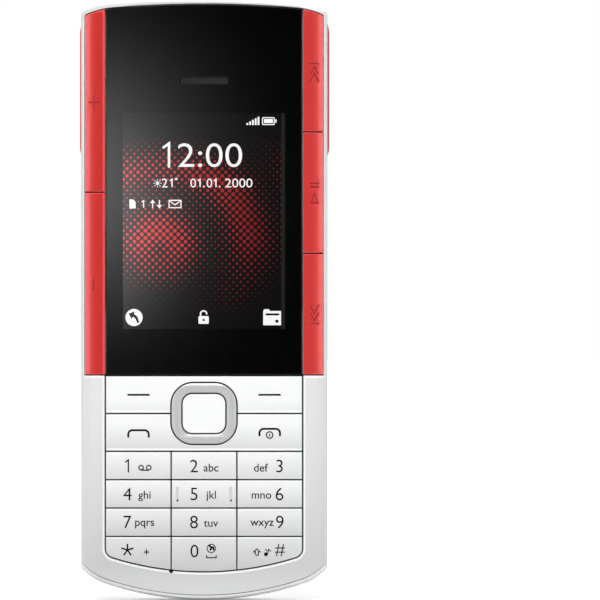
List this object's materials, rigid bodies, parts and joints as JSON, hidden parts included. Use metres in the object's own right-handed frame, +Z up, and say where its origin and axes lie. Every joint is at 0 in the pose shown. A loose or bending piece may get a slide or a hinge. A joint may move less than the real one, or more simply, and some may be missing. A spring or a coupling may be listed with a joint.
{
  "type": "slider phone",
  "caption": "Keypad music phone with a front display, side music keys and a rear cap that slides down rails to uncover a charging bay for wireless earbuds.",
  "frame": {"origin": "below the chin of the upright phone: bottom centre of its bounding box", "axes": "+Z up along the length of the phone, -Y out of the display and keypad, +Y out of the sliding cap, +X to the right seen from the front"},
  "size_m": [0.0558, 0.0154, 0.1334],
  "materials": {
    "shell_white": "satin moulded, faint sheen",
    "cover_white": "satin moulded",
    "key_white": "satin, printed legends",
    "cap_red": "soft satin moulded",
    "frame_red": "satin moulded",
    "side_key_red": "satin moulded",
    "window_black": "polished, printed black behind",
    "ring_silver": "satin plated",
    "black_plastic": "fine matt",
    "foam_black": "woven mesh and foam",
    "steel": "stamped",
    "gold": "gold plated",
    "silicone": "matt silicone",
    "board_green": "solder mask",
    "battery_wrap": "printed film",
    "earbud_white": "polished",
    "lens_amber": "moulded lens over a warm diode"
  },
  "bodies": {
    "root": {"front_housing": "shell_white", "battery_cover": "cover_white", "camera_bezel": "cover_white", "middle_frame": "frame_red", "display_window": "window_black", "camera_window": "window_black", "flash_lens": "lens_amber", "window_gasket": "foam_black", "grille_mesh_lower": "foam_black", "grille_mesh_upper": "foam_black", "display_module": "black_plastic", "earpiece": "black_plastic", "audio_jack": "black_plastic", "loudspeaker_lower": "black_plastic", "loudspeaker_upper": "black_plastic", "camera_module": "black_plastic", "earbud_cradle": "black_plastic", "display_tray": "steel", "earpiece_mesh": "steel", "shield_can": "steel", "sim_holder": "steel", "usb_socket": "steel", "vibration_motor": "steel", "battery_contacts": "gold", "charging_pins_left": "gold", "charging_pins_right": "gold", "keypad_mat": "silicone", "earbud_tip_left": "silicone", "earbud_tip_right": "silicone", "main_board": "board_green", "battery": "battery_wrap", "earbud_left": "earbud_white", "earbud_right": "earbud_white", "screw_lower_left": "steel", "screw_lower_right": "steel", "screw_upper_left": "steel", "screw_upper_right": "steel"},
    "slider": {"slider_cap": "cap_red"},
    "softkeys": {"softkey_rocker": "key_white"},
    "call_keys": {"call_rocker": "key_white"},
    "nav_gimbal": {"nav_carrier": "black_plastic"},
    "nav_tilt": {"nav_ring": "ring_silver"},
    "select": {"select_key": "key_white"},
    "key_1": {"key_1": "key_white"},
    "key_2": {"key_2": "key_white"},
    "key_3": {"key_3": "key_white"},
    "key_4": {"key_4": "key_white"},
    "key_5": {"key_5": "key_white"},
    "key_6": {"key_6": "key_white"},
    "key_7": {"key_7": "key_white"},
    "key_8": {"key_8": "key_white"},
    "key_9": {"key_9": "key_white"},
    "key_star": {"key_star": "key_white"},
    "key_0": {"key_0": "key_white"},
    "key_hash": {"key_hash": "key_white"},
    "volume_up": {"volume_up_key": "side_key_red"},
    "volume_down": {"volume_down_key": "side_key_red"},
    "previous": {"previous_key": "side_key_red"},
    "play": {"play_key": "side_key_red"},
    "next": {"next_key": "side_key_red"}
  },
  "joints": [
    {"name": "slider_slide", "type": "slide", "parent": "root", "child": "slider", "axis": [0, 0, -1], "range_m": [0, 0.033]},
    {"name": "key_1_press", "type": "slide", "parent": "root", "child": "key_1", "axis": [0, 1, 0], "range_m": [0, 0.00035], "stiffness_N_per_m": 1500},
    {"name": "key_2_press", "type": "slide", "parent": "root", "child": "key_2", "axis": [0, 1, 0], "range_m": [0, 0.00035], "stiffness_N_per_m": 1500},
    {"name": "key_3_press", "type": "slide", "parent": "root", "child": "key_3", "axis": [0, 1, 0], "range_m": [0, 0.00035], "stiffness_N_per_m": 1500},
    {"name": "key_4_press", "type": "slide", "parent": "root", "child": "key_4", "axis": [0, 1, 0], "range_m": [0, 0.00035], "stiffness_N_per_m": 1500},
    {"name": "key_5_press", "type": "slide", "parent": "root", "child": "key_5", "axis": [0, 1, 0], "range_m": [0, 0.00035], "stiffness_N_per_m": 1500},
    {"name": "key_6_press", "type": "slide", "parent": "root", "child": "key_6", "axis": [0, 1, 0], "range_m": [0, 0.00035], "stiffness_N_per_m": 1500},
    {"name": "key_7_press", "type": "slide", "parent": "root", "child": "key_7", "axis": [0, 1, 0], "range_m": [0, 0.00035], "stiffness_N_per_m": 1500},
    {"name": "key_8_press", "type": "slide", "parent": "root", "child": "key_8", "axis": [0, 1, 0], "range_m": [0, 0.00035], "stiffness_N_per_m": 1500},
    {"name": "key_9_press", "type": "slide", "parent": "root", "child": "key_9", "axis": [0, 1, 0], "range_m": [0, 0.00035], "stiffness_N_per_m": 1500},
    {"name": "key_star_press", "type": "slide", "parent": "root", "child": "key_star", "axis": [0, 1, 0], "range_m": [0, 0.00035], "stiffness_N_per_m": 1500},
    {"name": "key_0_press", "type": "slide", "parent": "root", "child": "key_0", "axis": [0, 1, 0], "range_m": [0, 0.00035], "stiffness_N_per_m": 1500},
    {"name": "key_hash_press", "type": "slide", "parent": "root", "child": "key_hash", "axis": [0, 1, 0], "range_m": [0, 0.00035], "stiffness_N_per_m": 1500},
    {"name": "select_press", "type": "slide", "parent": "root", "child": "select", "axis": [0, 1, 0], "range_m": [0, 0.00035], "stiffness_N_per_m": 1500},
    {"name": "volume_up_press", "type": "slide", "parent": "root", "child": "volume_up", "axis": [0, 1, 0], "range_m": [0, 0.0003], "stiffness_N_per_m": 1500},
    {"name": "volume_down_press", "type": "slide", "parent": "root", "child": "volume_down", "axis": [0, 1, 0], "range_m": [0, 0.0003], "stiffness_N_per_m": 1500},
    {"name": "previous_press", "type": "slide", "parent": "root", "child": "previous", "axis": [0, 1, 0], "range_m": [0, 0.0003], "stiffness_N_per_m": 1500},
    {"name": "play_press", "type": "slide", "parent": "root", "child": "play", "axis": [0, 1, 0], "range_m": [0, 0.0003], "stiffness_N_per_m": 1500},
    {"name": "next_press", "type": "slide", "parent": "root", "child": "next", "axis": [0, 1, 0], "range_m": [0, 0.0003], "stiffness_N_per_m": 1500},
    {"name": "softkeys_rock", "type": "hinge", "parent": "root", "child": "softkeys", "pos_m": [0, -0.0052, 0.0457], "axis": [0, 0, 1], "range_deg": [-0.8, 0.8], "stiffness_Nm_per_rad": 0.3},
    {"name": "call_keys_rock", "type": "hinge", "parent": "root", "child": "call_keys", "pos_m": [0, -0.0052, 0.0373], "axis": [0, 0, 1], "range_deg": [-0.8, 0.8], "stiffness_Nm_per_rad": 0.3},
    {"name": "nav_up_down", "type": "hinge", "parent": "root", "child": "nav_gimbal", "pos_m": [0, -0.0052, 0.0415], "axis": [1, 0, 0], "range_deg": [-1.5, 1.5], "stiffness_Nm_per_rad": 0.05},
    {"name": "nav_left_right", "type": "hinge", "parent": "nav_gimbal", "child": "nav_tilt", "pos_m": [0, -0.0052, 0.0415], "axis": [0, 0, 1], "range_deg": [-1.5, 1.5], "stiffness_Nm_per_rad": 0.05}
  ]
}
